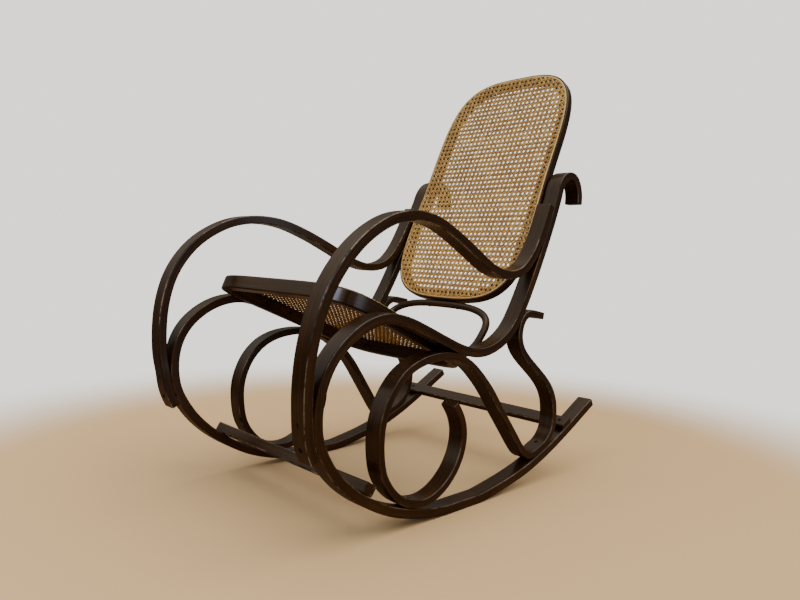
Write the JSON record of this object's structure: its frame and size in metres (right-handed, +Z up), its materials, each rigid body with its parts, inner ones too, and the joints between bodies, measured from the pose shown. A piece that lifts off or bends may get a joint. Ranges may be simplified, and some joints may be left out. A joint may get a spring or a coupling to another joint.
{
  "type": "bentwood rocking chair",
  "caption": "Rocking chair of bent wooden strips: rockers, arms and scrolls in two side frames, with caned seat and caned high back in bent rings and two crossbars.",
  "frame": {"origin": "on the floor under the middle of the chair's bounding box", "axes": "+Z up, the sitter faces -Y, +X is the sitter's left"},
  "size_m": [0.5648, 0.8508, 0.928],
  "materials": {
    "stained_beech": "dark walnut stain under gloss varnish",
    "cane": "natural rattan cane, satin",
    "spline_reed": "natural reed, satin",
    "screw_steel": "dark oxidised steel"
  },
  "bodies": {
    "root": {"arm_bow_left": "stained_beech", "arm_bow_right": "stained_beech", "arm_end_screw_left": "screw_steel", "arm_end_screw_right": "screw_steel", "arm_foot_screw_1_left": "screw_steel", "arm_foot_screw_1_right": "screw_steel", "arm_foot_screw_2_left": "screw_steel", "arm_foot_screw_2_right": "screw_steel", "back_cane": "cane", "back_hoop": "stained_beech", "back_ring": "stained_beech", "back_ring_screw_1_left": "screw_steel", "back_ring_screw_1_right": "screw_steel", "back_ring_screw_2_left": "screw_steel", "back_ring_screw_2_right": "screw_steel", "back_spline": "spline_reed", "front_crossbar": "stained_beech", "front_crossbar_screw_left": "screw_steel", "front_crossbar_screw_right": "screw_steel", "hoop_foot_screw_left": "screw_steel", "hoop_foot_screw_right": "screw_steel", "hoop_head_screw_left": "screw_steel", "hoop_head_screw_right": "screw_steel", "main_bow_left": "stained_beech", "main_bow_right": "stained_beech", "rear_crossbar": "stained_beech", "rear_crossbar_screw_left": "screw_steel", "rear_crossbar_screw_right": "screw_steel", "scroll_front_screw_left": "screw_steel", "scroll_front_screw_right": "screw_steel", "scroll_left": "stained_beech", "scroll_rail_screw_left": "screw_steel", "scroll_rail_screw_right": "screw_steel", "scroll_rear_screw_left": "screw_steel", "scroll_rear_screw_right": "screw_steel", "scroll_right": "stained_beech", "scroll_stile_screw_left": "screw_steel", "scroll_stile_screw_right": "screw_steel", "seat_cane": "cane", "seat_ring": "stained_beech", "seat_ring_screw_1_left": "screw_steel", "seat_ring_screw_1_right": "screw_steel", "seat_ring_screw_2_left": "screw_steel", "seat_ring_screw_2_right": "screw_steel", "seat_spline": "spline_reed"}
  },
  "joints": []
}
